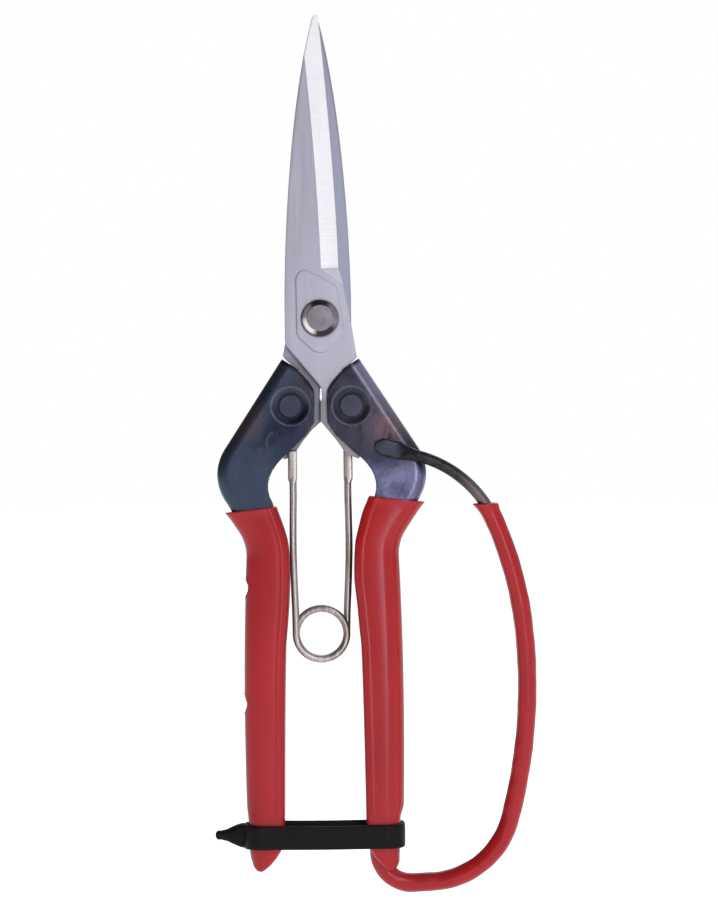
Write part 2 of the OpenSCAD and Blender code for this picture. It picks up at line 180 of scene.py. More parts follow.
def between(a, b, steps):
    """The points that cut the line from a to b into equal steps, without its ends."""
    share = np.linspace(0, 1, steps, endpoint=False)[1:, None]
    return np.array(a) + (np.array(b) - np.array(a)) * share


def smooth(lo, hi, v):
    t = np.clip((v - lo) / (hi - lo), 0, 1)
    return t * t * (3 - 2 * t)


def hump(v, width, power=2):
    """1 at v = 0, fading to 0 over about the width on both sides."""
    return np.exp(-((v / width) ** power))


def rounded_box(cosine, sine, squareness):
    """Unit superellipse: a squareness of 2 is a circle, and more is squarer."""
    p = 2.0 / squareness
    return np.sign(cosine) * np.abs(cosine) ** p, np.sign(sine) * np.abs(sine) ** p


def to_world(x, z, depth):
    return np.stack([x * MM, -depth * MM, z * MM], axis=-1)


def half_turn(points):
    """The same place on the other half of the snips, front to back and side to side."""
    out = points.copy()
    out[..., X] = -out[..., X]
    out[..., Y] = -DEPTH * MM - out[..., Y]
    return out


def outward_normals(mesh):
    bm = bmesh.new()
    bm.from_mesh(mesh)
    bmesh.ops.recalc_face_normals(bm, faces=bm.faces)
    bm.to_mesh(mesh)
    bm.free()


def loft(name, rings, close_ends=True):
    """A smooth skin over rings of points, each with as many points as the first."""
    rings = np.asarray(rings, float)
    count, around = rings.shape[:2]
    verts = [tuple(p) for ring in rings for p in ring]
    faces = []
    for low in range(0, (count - 1) * around, around):
        high = low + around
        for k in range(around):
            n = (k + 1) % around
            faces.append((low + k, low + n, high + n, high + k))
    if close_ends:
        for i in (0, count - 1):
            centre = len(verts)
            verts.append(tuple(rings[i].mean(0)))
            for k in range(around):
                a = i * around + k
                b = i * around + (k + 1) % around
                faces.append((centre, b, a) if i == 0 else (centre, a, b))
    mesh = bpy.data.meshes.new(name)
    mesh.from_pydata(verts, [], faces)
    mesh.validate()
    outward_normals(mesh)
    for poly in mesh.polygons:
        poly.use_smooth = True
    obj = bpy.data.objects.new(name, mesh)
    bpy.context.scene.collection.objects.link(obj)
    return obj


def sweep(name, centres, sides, fronts, half_wide, half_deep, squareness, around):
    """A tube along centres. sides and fronts are the axes of its section."""
    t = np.linspace(0, 2 * math.pi, around, endpoint=False)
    rings = []
    for i, centre in enumerate(centres):
        u, v = rounded_box(np.cos(t), np.sin(t), squareness[i])
        rings.append(centre + np.outer(u * half_wide[i], sides[i]) + np.outer(v * half_deep[i], fronts[i]))
    return loft(name, rings)


def dress(obj, material):
    obj.data.materials.clear()
    obj.data.materials.append(material)


def fit(obj, material, body, node=None):
    """Dresses a new piece, puts it on its body and hides the CAD node it stands for."""
    dress(obj, material)
    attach(obj, body)
    if node:
        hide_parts(node)


# ---------------------------------------------------------------- node materials
# Where a mix node keeps its colour sockets: factor, a and b, and the result
COLOUR_MIX_INPUTS = (0, 6, 7)
COLOUR_MIX_OUTPUT = 2


class Nodes:
    """A principled material whose inputs are built up from nodes. Places are in metres."""

    def __init__(self, name):
        self.mat = bpy.data.materials.new(name)
        self.mat.use_nodes = True
        self.tree = self.mat.node_tree
        self.tree.nodes.clear()
        self.coords = self.tree.nodes.new("ShaderNodeTexCoord")
        self.shader = self.tree.nodes.new("ShaderNodeBsdfPrincipled")
        out = self.tree.nodes.new("ShaderNodeOutputMaterial")
        self.link(self.shader.outputs["BSDF"], out.inputs["Surface"])

    def link(self, a, b):
        self.tree.links.new(a, b)

    def put(self, socket, value):
        if isinstance(value, (int, float)):
            socket.default_value = value
        elif isinstance(value, tuple):
            socket.default_value = value if len(value) == 4 else (*value, 1)
        else:
            self.link(value, socket)

    def set(self, **values):
        for key, value in values.items():
            self.put(self.shader.inputs[key.replace("_", " ")], value)
        return self.mat

    def noise(self, scale, detail, rough, distort=0.0):
        """Cloudy noise from 0 to 1. scale is along x, y and z, in cells per metre."""
        mapping = self.tree.nodes.new("ShaderNodeMapping")
        mapping.inputs["Scale"].default_value = scale
        self.link(self.coords.outputs["Object"], mapping.inputs["Vector"])
        n = self.tree.nodes.new("ShaderNodeTexNoise")
        self.link(mapping.outputs["Vector"], n.inputs["Vector"])
        for key, v in (("Scale", 1.0), ("Detail", detail), ("Roughness", rough), ("Distortion", distort)):
            n.inputs[key].default_value = v
        return n.outputs["Fac"]

    def ramp(self, value, lo, hi, a=0.0, b=1.0):
        """a up to lo and b past hi, with a smooth step between. lo may be above hi."""
        n = self.tree.nodes.new("ShaderNodeMapRange")
        n.interpolation_type = "SMOOTHSTEP"
        self.link(value, n.inputs["Value"])
        for key, v in (("From Min", lo), ("From Max", hi), ("To Min", a), ("To Max", b)):
            n.inputs[key].default_value = v
        return n.outputs["Result"]

    def ramp_mm(self, value, lo, hi, a=0.0, b=1.0):
        """A ramp over a place, with its limits in millimetres."""
        return self.ramp(value, lo * MM, hi * MM, a, b)

    def mix(self, factor, a, b):
        n = self.tree.nodes.new("ShaderNodeMix")
        n.data_type = "RGBA"
        for index, value in zip(COLOUR_MIX_INPUTS, (factor, a, b)):
            self.put(n.inputs[index], value)
        return n.outputs[COLOUR_MIX_OUTPUT]

    def maths(self, kind, a, b=0.0):
        n = self.tree.nodes.new("ShaderNodeMath")
        n.operation = kind
        self.put(n.inputs[0], a)
        self.put(n.inputs[1], b)
        return n.outputs[0]

    def plus(self, a, b):
        return self.maths("ADD", a, b)

    def minus(self, a, b):
        return self.maths("SUBTRACT", a, b)

    def times(self, a, b):
        return self.maths("MULTIPLY", a, b)

    def part(self, vector, axis):
        n = self.tree.nodes.new("ShaderNodeSeparateXYZ")
        self.link(vector, n.inputs[0])
        return n.outputs[axis]

    def place(self, axis):
        return self.part(self.coords.outputs["Object"], axis)

    def facing(self, axis):
        return self.part(self.coords.outputs["Normal"], axis)

    def distance(self, point):
        """How far a place is from a point (x, z) in the flat of the snips."""
        dx = self.minus(self.place(X), point[0] * MM)
        dz = self.minus(self.place(Z), point[1] * MM)
        return self.maths("SQRT", self.plus(self.times(dx, dx), self.times(dz, dz)))

    def reach(self, side, fall):
        """How far a place lies along a line from the pivot that falls by so many degrees,
        to the right for side 1 and to the left for side -1."""
        a = math.radians(fall)
        outward = self.times(self.place(X), side * math.cos(a))
        return self.minus(outward, self.times(self.place(Z), math.sin(a)))

    def rim(self, blend):
        """Rises from 0 where a face looks at the viewer to 1 where it turns away."""
        n = self.tree.nodes.new("ShaderNodeLayerWeight")
        n.inputs["Blend"].default_value = blend
        return n.outputs["Facing"]

    def bevel(self, radius):
        n = self.tree.nodes.new("ShaderNodeBevel")
        n.samples = 6
        n.inputs["Radius"].default_value = radius * MM
        return n.outputs["Normal"]

    def bump(self, height, strength, distance, normal=None):
        n = self.tree.nodes.new("ShaderNodeBump")
        n.inputs["Strength"].default_value = strength
        n.inputs["Distance"].default_value = distance * MM
        self.link(height, n.inputs["Height"])
        if normal is not None:
            self.link(normal, n.inputs["Normal"])
        return n.outputs["Normal"]

    def edge_shade_mask(self, radius):
        """1 near an edge, 0 on open faces: how far the rounded normal leaves the real one. It masks painted
        shade along edges.
        """
        geometry = self.tree.nodes.new("ShaderNodeNewGeometry")
        n = self.tree.nodes.new("ShaderNodeVectorMath")
        n.operation = "DOT_PRODUCT"
        self.link(self.bevel(radius), n.inputs[0])
        self.link(geometry.outputs["Normal"], n.inputs[1])
        return self.ramp(n.outputs["Value"], 0.995, 0.85)


def ground_steel(name, facing, face, inner):
    """A blade's material. facing is the sign of its outer face along y, and face and inner are
    the colours of its outer and inner faces."""
    polish_and_highlight, polish_and_highlight_streak = (0.84, 0.83, 0.87), (0.79, 0.78, 0.83)
    heel_highlight = (0.62, 0.62, 0.68)
    towards_tip, tang_shade = (0.26, 0.26, 0.33), (0.115, 0.098, 0.100)
    spine_shade, edge_shade, pivot_shadow = (0.17, 0.14, 0.16), (0.20, 0.18, 0.20), (0.10, 0.09, 0.10)
    m = Nodes(name)
    outward = m.times(m.facing(Y), float(facing))
    sideways = m.times(m.facing(X), -float(facing))
    z = m.place(Z)
    grain = m.noise((900, 900, 45), 4, 0.6)
    cross = m.noise((60, 60, 2600), 3, 0.6)
    cloud = m.noise((55, 55, 30), 3, 0.5)
    tone = m.mix(m.ramp(cloud, 0.3, 0.7), face, tuple(c * 1.13 for c in face))
    tone = m.mix(m.ramp(grain, 0.45, 0.75, 0.0, 0.25), tone, tuple(c * 1.35 for c in face))
    tone = m.mix(m.ramp_mm(z, 30, 70, 0.0, 0.18), tone, towards_tip)
    back = m.ramp(outward, -0.8, -0.95)
    # the inner face gets its own colour; the rear blade's is darker as painted shade
    tone = m.mix(back, tone, inner)
    # the ground bevel leans a little out of the face, and the heel's edge a little upwards. The bevel's near
    # white is partly its real polish and partly a painted highlight
    leaning = m.times(m.ramp(outward, 0.80, 0.90), m.ramp(outward, 0.985, 0.95))
    ground = m.times(leaning, m.ramp(sideways, 0.2, 0.3))
    tone = m.mix(ground, tone, m.mix(m.ramp(cross, 0.4, 0.75), polish_and_highlight, polish_and_highlight_streak))
    # a painted highlight on the heel's upward-facing edge
    heel = m.times(m.ramp(m.facing(Z), 0.12, 0.25), m.ramp(outward, 0.6, 0.8))
    tone = m.mix(heel, tone, heel_highlight)
    # painted shade where a tang runs in between the other blade and the handles
    in_tang_shade = m.maths("MAXIMUM", m.times(back, m.ramp_mm(z, -7.5, -12.0)), m.ramp_mm(z, -16.5, -20.0))
    tone = m.mix(m.times(in_tang_shade, 0.55), tone, tang_shade)
    # painted shade along the spine, more so towards the tip
    rounded = m.times(m.part(m.bevel(1.1), X), float(facing))
    spine = m.times(m.ramp(rounded, 0.10, 0.40, 0.0, 0.85), m.ramp_mm(z, 18, 60, 0.35, 1.0))
    tone = m.mix(spine, tone, spine_shade)
    # painted shade along the blade's rounded edges
    tone = m.mix(m.times(m.edge_shade_mask(0.25), 0.45), tone, edge_shade)
    # a painted shadow ring on the blade round the rivet head
    tone = m.mix(m.ramp_mm(m.distance(PIVOT), 4.8, 4.3, 0.0, 0.70), tone, pivot_shadow)
    height = m.plus(m.times(grain, 0.6), m.times(cross, 0.4))
    return m.set(
        Base_Color=tone,
        Metallic=m.minus(0.85, m.times(ground, 0.45)),
        Roughness=m.ramp(grain, 0.2, 0.8, 0.30, 0.44),
        Anisotropic=0.35,
        Normal=m.bump(height, 0.10, 0.06, m.bevel(0.18)),
    )


def turned_steel():
    """The pivot rivet's: its rounded edge carries a painted highlight on one side and painted dark
    reflections above and below, and a painted shadow rings its foot.
    """
    warm_dark, warm_light = (0.205, 0.175, 0.215), (0.255, 0.225, 0.260)
    dark_reflection, polish_and_highlight, rim_shadow = (0.035, 0.030, 0.032), (0.74, 0.68, 0.68), (0.05, 0.045, 0.045)
    m = Nodes("rivet_steel")
    turned = m.noise((700, 90, 700), 4, 0.6)
    cloud = m.noise((260, 260, 260), 3, 0.6)
    tone = m.mix(m.ramp(cloud, 0.3, 0.7), warm_dark, warm_light)
    sideways, upward = m.facing(X), m.facing(Z)
    radius = m.distance(PIVOT)
    edge = m.ramp_mm(radius, 2.9, 3.2)
    below = m.times(m.ramp(upward, -0.18, -0.45), m.ramp(sideways, -0.35, -0.05))
    dark = m.plus(m.ramp(upward, 0.42, 0.60), below)
    # painted dark reflections on the rounded edge above and below
    tone = m.mix(m.times(edge, dark), tone, dark_reflection)
    lit = m.times(m.times(edge, m.ramp(sideways, -0.10, -0.35)), m.ramp(upward, 0.58, 0.40))
    # a painted highlight on the edge's left side
    tone = m.mix(m.times(lit, m.ramp_mm(radius, 4.2, 3.7)), tone, polish_and_highlight)
    # a painted shadow ring at the head's foot
    tone = m.mix(m.ramp_mm(radius, 4.0, 4.25, 0.0, 0.8), tone, rim_shadow)
    return m.set(
        Base_Color=tone,
        Metallic=0.9,
        Roughness=m.ramp(turned, 0.3, 0.8, 0.26, 0.42),
        Normal=m.bump(turned, 0.05, 0.05, m.bevel(0.22)),
    )


def right_blueing(m, cloud, streak):
    """Painted sheen in pale lavender along the folded side, a bluer foot, and temper colours by the weld."""
    navy, slate, lavender = (0.014, 0.016, 0.034), (0.046, 0.042, 0.062), (0.230, 0.220, 0.330)
    foot_dark, foot_light = (0.050, 0.054, 0.120), (0.150, 0.145, 0.255)
    purple, straw, soot_black = (0.090, 0.068, 0.100), (0.180, 0.090, 0.090), (0.012, 0.011, 0.014)
    x, z = m.place(X), m.place(Z)
    tone = m.mix(m.ramp(cloud, 0.35, 0.65), navy, slate)
    # a painted sheen along the folded side, where the light from the right reflects
    folded = m.ramp_mm(m.plus(x, m.times(z, SHOULDER_LEAN)), -1.0, 2.2)
    tone = m.mix(m.times(folded, m.ramp_mm(z, -30, -22, 0.0, 0.85)), tone, lavender)
    foot = m.mix(m.ramp(cloud, 0.38, 0.66), foot_dark, foot_light)
    tone = m.mix(m.ramp_mm(z, -31, -38), tone, foot)
    heat = m.plus(m.distance(WELD_HEAT), m.times(m.minus(cloud, 0.5), 12 * MM))
    tone = m.mix(m.ramp_mm(heat, 8.5, 3.0, 0.0, 0.55), tone, purple)
    tone = m.mix(m.ramp_mm(heat, 4.5, 1.5, 0.0, 0.35), tone, straw)
    soot = m.times(m.ramp(streak, 0.52, 0.64, 0.0, 0.8), m.ramp_mm(m.distance(WELD), 6.5, 3.0))
    return m.mix(soot, tone, soot_black)


def left_blueing(m, cloud):
    """Greener blue than the right handle's, with a straw patch on the shoulder's outer side."""
    navy, slate, steel_blue = (0.010, 0.015, 0.038), (0.044, 0.044, 0.066), (0.052, 0.066, 0.100)
    foot, straw = (0.038, 0.058, 0.096), (0.105, 0.062, 0.075)
    x, z = m.place(X), m.place(Z)
    tone = m.mix(m.ramp(cloud, 0.35, 0.65), navy, slate)
    outer = m.minus(m.times(z, SHOULDER_LEAN), x)
    tone = m.mix(m.ramp_mm(outer, -6.0, -0.5, 0.0, 0.6), tone, steel_blue)
    tone = m.mix(m.ramp_mm(z, -26, -36, 0.0, 0.8), tone, foot)
    patch = m.times(m.ramp_mm(z, -30, -24), m.ramp_mm(z, -14, -20))
    patch = m.times(patch, m.ramp_mm(x, -12.5, -16.5, 0.0, 0.45))
    return m.mix(patch, tone, straw)


def blued_steel(name, side):
    """A handle's and its tang rivet's: side is 1 for the right handle and -1 for the left."""
    streak_light, rivet_blue, lip_highlight = (0.13, 0.14, 0.19), (0.066, 0.072, 0.100), (0.120, 0.125, 0.160)
    shade_black, cut_edge_shade = (0.008, 0.008, 0.011), (0.007, 0.006, 0.007)
    m = Nodes(name)
    cloud = m.noise((130, 130, 90), 5, 0.65, 0.8)
    speck = m.noise((1500, 1500, 1500), 3, 0.6)
    streak = m.noise((420, 420, 160), 4, 0.6, 0.8)
    tone = right_blueing(m, cloud, streak) if side > 0 else left_blueing(m, cloud)
    tone = m.mix(m.ramp(streak, 0.60, 0.8, 0.0, 0.30), tone, streak_light)
    # the tang rivet: painted shade in the groove round its head, and a painted highlight on the lip round the
    # dimple
    radius = m.distance((side * TANG_RIVET[0], TANG_RIVET[1]))
    groove = m.times(m.ramp_mm(radius, 2.55, 2.75), m.ramp_mm(radius, 3.35, 3.05, 0.0, 0.55))
    tone = m.mix(groove, tone, shade_black)
    tone = m.mix(m.ramp_mm(radius, 2.62, 2.38, 0.0, 0.5), tone, rivet_blue)
    lip = m.times(m.ramp_mm(radius, 4.05, 4.35), m.ramp_mm(radius, 4.90, 4.55, 0.0, 0.40))
    tone = m.mix(lip, tone, lip_highlight)
    # the cut edges at the handle's upper end and along its neck are painted black as shade, and the other
    # edges painted dark as shade
    upper = m.ramp_mm(m.reach(side, UPPER_CUT), 14.0, 13.2)
    neck = m.ramp_mm(m.reach(side, NECK_CUT), 12.05, 11.65)
    tone = m.mix(m.times(m.maths("MAXIMUM", upper, neck), 0.85), tone, cut_edge_shade)
    tone = m.mix(m.times(m.edge_shade_mask(0.6), m.ramp(cloud, 0.3, 0.6, 0.9, 0.6)), tone, shade_black)
    return m.set(
        Base_Color=tone,
        Metallic=0.85,
        Roughness=m.ramp(speck, 0.2, 0.8, 0.26, 0.38),
        Coat_Weight=0.10,
        Coat_Roughness=0.12,
        Normal=m.bump(cloud, 0.10, 0.3, m.bevel(0.30)),
    )


def blackened_rod():
    """Black scale, browner near the sleeve, and blued on the flattened pad."""
    scale_dark, scale_light = (0.010, 0.010, 0.012), (0.035, 0.034, 0.040)
    brown, pad_blue = (0.165, 0.130, 0.145), (0.038, 0.043, 0.066)
    m = Nodes("blackened_rod")
    scale = m.noise((500, 500, 500), 4, 0.6)
    x = m.place(X)
    tone = m.mix(m.ramp(scale, 0.35, 0.7), scale_dark, scale_light)
    tone = m.mix(m.ramp_mm(x, 30, 38, 0.0, 0.8), tone, brown)
    pad = m.times(m.ramp(m.facing(Y), -0.90, -0.985), m.ramp_mm(x, 20.0, 17.5, 0.0, 0.8))
    tone = m.mix(pad, tone, pad_blue)
    return m.set(
        Base_Color=tone,
        Metallic=0.7,
        Roughness=m.ramp(scale, 0.2, 0.8, 0.30, 0.5),
        Normal=m.bump(scale, 0.15, 0.1),
    )


def dipped_vinyl():
    """Semi-gloss red with painted shade where it turns away, and slow sags left by the dip."""
    deep_red, red, turned_away_shade = (0.320, 0.008, 0.009), (0.378, 0.011, 0.012), (0.125, 0.010, 0.008)
    m = Nodes("red_vinyl")
    sag = m.noise((70, 70, 18), 2, 0.4)
    blotch = m.noise((110, 110, 40), 3, 0.5)
    tone = m.mix(m.ramp(blotch, 0.3, 0.7), deep_red, red)
    # painted shade where the surface turns away from the viewer
    tone = m.mix(m.ramp(m.rim(0.35), 0.25, 0.75, 0.0, 0.85), tone, turned_away_shade)
    return m.set(
        Base_Color=tone,
        Roughness=m.ramp(blotch, 0.2, 0.8, 0.19, 0.25),
        Specular_IOR_Level=0.34,
        Specular_Tint=(0.88, 0.80, 0.95),
        Normal=m.bump(sag, 0.25, 0.3),
    )


def spring_wire():
    """Drawn along its length and lightly browned."""
    drawn_dark, drawn_light, rust_brown = (0.27, 0.23, 0.225), (0.46, 0.42, 0.41), (0.20, 0.12, 0.08)
    m = Nodes("spring_steel")
    drawn = m.noise((1600, 1600, 70), 4, 0.6)
    rust = m.noise((240, 240, 120), 4, 0.6)
    tone = m.mix(m.ramp(drawn, 0.3, 0.7), drawn_dark, drawn_light)
    tone = m.mix(m.ramp(rust, 0.55, 0.72, 0.0, 0.5), tone, rust_brown)
    return m.set(
        Base_Color=tone,
        Metallic=0.9,
        Roughness=m.ramp(drawn, 0.2, 0.8, 0.26, 0.42),
        Normal=m.bump(drawn, 0.12, 0.05),
    )


def black_rubber():
    """Matte, with a faint bloom and a fine moulded grain."""
    m = Nodes("black_rubber")
    bloom = m.noise((160, 160, 160), 3, 0.6)
    grain = m.noise((2200, 2200, 2200), 3, 0.6)
    return m.set(
        Base_Color=m.mix(m.ramp(bloom, 0.35, 0.75), (0.0035, 0.003, 0.0032), (0.009, 0.008, 0.009)),
        Roughness=m.ramp(bloom, 0.3, 0.7, 0.42, 0.62),
        Specular_IOR_Level=0.12,
        Normal=m.bump(grain, 0.12, 0.06),
    )


def pale_floor():
    """Near white, with a glow of its own so that it stays pale under the low studio light."""
    m = Nodes("pale_floor")
    cloud = m.noise((3, 3, 3), 3, 0.5)
    return m.set(
        Base_Color=m.mix(m.ramp(cloud, 0.3, 0.7), (0.90, 0.90, 0.90), (0.92, 0.92, 0.92)),
        Roughness=0.9,
        Emission_Color=(1.0, 1.0, 1.0),
        Emission_Strength=0.75,
    )


# ---------------------------------------------------------------- pieces kept from the CAD
OUTER_FACE = (0.315, 0.31, 0.375)
front_steel = ground_steel("front_blade_steel", -1, OUTER_FACE, inner=(0.33, 0.32, 0.41))
# the rear blade's inner face is darkened as painted shade behind the front blade
rear_steel = ground_steel("rear_blade_steel", 1, OUTER_FACE, inner=(0.26, 0.265, 0.35))
rivet_steel = turned_steel()
blued_left = blued_steel("blued_steel_left", -1)
blued_right = blued_steel("blued_steel_right", 1)
rod_black = blackened_rod()
vinyl = dipped_vinyl()
wire_steel = spring_wire()
rubber = black_rubber()

for node, material in (
    ("front_blade", front_steel),
    ("rear_blade", rear_steel),
    ("pivot_rivet", rivet_steel),
    ("left_handle", blued_left),
    ("right_handle", blued_right),
    ("left_tang_rivet", blued_left),
    ("right_tang_rivet", blued_right),
):
    dress(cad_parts[node], material)


# ---------------------------------------------------------------- dipped grips
outer_line = trace(SHOULDER, SHOULDER_START, COAT)
inner_line = np.concatenate([
    bezier((8.2, -31.6), (12, -34.6), (14.2, -38.8), (11.6, -43.1)),
    bezier((11.5, -43.5), (8.2, -49.5), (8.1, -60), (9.65, -75)),
    bezier((9.75, -76), (10.2, -90), (10.3, -105), (10.5, -119)),
    [(10.5, -HANDLE_END)],
])
inner_line[:, 0] -= COAT


def edge_at(line, z):
    """Where a line that runs downwards is at height z."""
    return float(np.interp(-z, -line[:, 1], line[:, 0]))


def channel_outline(x_in, x_out, half, tight):
    """A grip's section: a channel, open towards the other grip, as x and depth from its middle.
    tight, from 0 to 1, squares its corners where the coating is squeezed."""
    wide = x_out - x_in
    slot = min(1.75, 0.4 * half)
    wall = (half - slot) / 2
    lip = min(wall, 0.24 * wide)
    corner = min(4.1 - 0.8 * tight, 0.62 * wide, half - 0.05)
    web = min(max(x_out - 2.5, x_in + lip), x_out - 0.2 * wide)
    front = np.concatenate([
        [(web, 0.0), (web, 0.8 * slot)],
        between((web, slot), (x_in + lip, slot), 5),
        arc((x_in + lip, slot + wall), lip, wall, 270, 90, 12),
        between((x_in + lip, half), (x_out - corner, half), 16),
        arc((x_out - corner, half - corner), corner, corner, 90, 0, 14),
    ])
    side = between((x_out, half - corner), (x_out, corner - half), 4)
    rear = front[:0:-1] * (1, -1)
    return np.concatenate([front, side, rear]), x_in + lip


def grip_section(z, x_in, x_out, half, tight, slope):
    """One ring of a grip: its walls are crowned across and have a fine ridge behind the lip."""
    points, lip_end = channel_outline(x_in, x_out, half, tight)
    x, depth = points[:, 0], points[:, 1]
    flank = np.clip(np.abs(depth) / half, 0, 1) ** 2
    from_crest = (x - x_in) / (x_out - x_in) - 0.42
    ridge = 0.16 * hump(x - lip_end - 0.25, 0.32) * flank**4 * (1 - tight)
    crown = (2.6 - 1.8 * tight) * from_crest**2 * flank
    depth += np.sign(depth) * (ridge - crown)
    return to_world(x, z + slope * (x - MOUTH_MID), MID + depth)


def grip_heights(top):
    """Heights of a grip's rings: close together at its mouth and at its rounded end."""
    mouth = -top - np.array([-0.02, 0.0, 0.07, 0.2, 0.45, 0.8, 1.3, 1.9])
    palm = np.linspace(-top - 2.6, -115.0, 110)
    band = np.linspace(-115.5, 6.2 - HANDLE_END, 22)
    end = 6.0 * (1 - np.sin(np.linspace(0, math.pi / 2, 26))) - HANDLE_END
    return np.concatenate([mouth, palm, band, end])


def hanging_marks(rings):
    """Shallow ovals with a raised rim, pressed into the left grip's outer side."""
    x, y, z = (rings[..., axis] / MM for axis in (X, Y, Z))
    on_side = smooth(-14.5, -16.5, x)
    for drop in HANGING_MARKS:
        d = np.hypot((z + drop) / MARK_HALF_HIGH, (y + MID) / MARK_HALF_DEEP)
        dent = MARK_DEPTH * np.clip(1 - d**2, 0, 1) ** 0.5 - 0.12 * hump(d - 1.12, 0.14)
        rings[..., X] += dent * on_side * MM


def make_grip(name, node, body, top, left):
    mouth_inset = (0.45, 0.16, 0.04)
    rings = []
    for i, z in enumerate(grip_heights(top)):
        below, rise = -top - z, z + HANDLE_END
        flare = 0.22 * hump(below, 1.2)
        inset = mouth_inset[i] if i < len(mouth_inset) else 0.0
        x_out = edge_at(outer_line, z) + flare - inset
        x_in = edge_at(inner_line, z) - 0.3 * flare + inset
        half = MID - 0.02 + 0.7 * flare - inset
        # the left grip's inner side is cut back near its mouth, and the right one's swells
        if left:
            x_in += 0.80 * smooth(-54.0, -46.0, z)
        else:
            x_in -= 0.40 * smooth(-48.0, -53.0, z) * smooth(-68.0, -60.0, z)
        # the coating is squeezed where the band holds it, and stays narrower below
        squeeze = smooth(-113.5, -116.8, z)
        x_out -= (0.25 if left else 0.75) * squeeze
        half -= 0.14 * squeeze
        if rise < END_RISE[-1]:
            x_in = max(x_in, np.interp(rise, END_RISE, END_IN))
            x_out = min(x_out, np.interp(rise, END_RISE, END_OUT))
            half *= 0.80 + 0.20 * math.sqrt(np.clip(rise / 2.6, 0, 1))
        slope = MOUTH_SLOPE * smooth(14.0, 0.0, below)
        rings.append(grip_section(z, x_in, x_out, half, squeeze, slope))
    rings = np.array(rings)
    if left:
        rings = half_turn(rings)
        hanging_marks(rings)
    fit(loft(name, rings), vinyl, body, node)


make_grip("dipped_grip_right", "right_grip", "guard_half", RIGHT_GRIP_TOP, left=False)
make_grip("dipped_grip_left", "left_grip", "plain_half", LEFT_GRIP_TOP, left=True)


# ---------------------------------------------------------------- finger guard
guard_rows = trace(GUARD, GUARD_START, spacing=0.7)
guard_steps = np.linalg.norm(np.diff(guard_rows[:, :2], axis=0), axis=1)
guard_along = np.concatenate([[0], np.cumsum(guard_steps)])


def guard_frames(rows):
    """World centres and section axes along the guard, which leans back as it goes down."""
    cos_tilt, sin_tilt = math.cos(GUARD_TILT), math.sin(GUARD_TILT)
    h = np.radians(rows[:, 2])
    rise = rows[:, 1] - GUARD_START[1]
    centres = to_world(rows[:, 0], GUARD_START[1] + rise * cos_tilt, GUARD_DEPTH + rise * sin_tilt)
    left = np.stack([-np.sin(h), -np.cos(h) * sin_tilt, np.cos(h) * cos_tilt], axis=-1)
    front = np.tile([0.0, -cos_tilt, -sin_tilt], (len(rows), 1))
    return centres, left, front


def make_rod():
    """The rod as far as it shows, flattened to a round-ended pad where it is welded on."""
    seen = guard_along < ROD_SEEN
    heading = math.radians(GUARD_START[2])
    lead = np.array([-1.6, -1.35, -0.9, -0.4])
    start = np.stack([
        GUARD_START[0] + lead * math.cos(heading),
        GUARD_START[1] + lead * math.sin(heading),
        np.full(len(lead), GUARD_START[2]),
    ], axis=-1)
    centres, left, front = guard_frames(np.concatenate([start, guard_rows[seen]]))
    s = np.concatenate([lead, guard_along[seen]])
    flat = smooth(8.5, 3.5, s)
    end = np.where(s < 0.2, np.sqrt(np.clip((s + 1.75) / 1.9, 0.03, 1)), 1)
    wide = (ROD / 2 * (1 - flat) + PAD_WIDE * flat) * end
    deep = (ROD / 2 * (1 - flat) + PAD_DEEP * flat) * (0.45 + 0.55 * end)
    # the pad's rear face is set back to the channel's front
    centres[:, Y] += flat * (GUARD_DEPTH - CHANNEL_FRONT - PAD_DEEP - 0.02) * MM
    rod = sweep("guard_wire", centres, left, front, wide * MM, deep * MM, 2.0 + 1.2 * flat, 28)
    fit(rod, rod_black, "guard_half", "guard_rod")


def make_sleeve():
    """The red tube: slightly uneven, flared at its mouth and narrower in the handle's end."""
    begin = GUARD[0][0] + GUARD[1][0] * math.radians(BARE_TURN)
    rest = guard_along >= begin + 0.8
    lead = np.array([0.05, 0.2, 0.4, 0.6])
    start = [np.interp(begin + lead, guard_along, column) for column in guard_rows.T]
    centres, left, front = guard_frames(np.concatenate([np.transpose(start), guard_rows[rest]]))
    s = np.concatenate([lead, guard_along[rest] - begin])
    r = SLEEVE / 2 + 0.34 * hump(s, 1.5) + 0.03 * np.sin(s * 0.55) + 0.02 * np.sin(s * 1.3 + 1)
    rounded_mouth = np.sqrt(np.clip(s / 0.4, 0, 1))
    r = np.minimum(r, ROD / 2 + 0.3 + (SLEEVE / 2 + 0.4 - ROD / 2) * rounded_mouth)
    r = np.where(s > s[-1] - 12, np.minimum(r, SLEEVE / 2), r) * MM
    # the mouth is cut on a slant, so its inner side starts sooner
    slant = 0.62 * hump(s, 3.0) * r
    along = np.cross(left, front)
    t = np.linspace(0, 2 * math.pi, 32, endpoint=False)
    rings = []
    for i, centre in enumerate(centres):
        sideways = r[i] * left[i] + slant[i] * along[i]
        rings.append(centre + np.outer(np.cos(t), sideways) + np.outer(np.sin(t), r[i] * front[i]))
    fit(loft("guard_tube", rings), vinyl, "guard_half", "guard_sleeve")


make_rod()
make_sleeve()


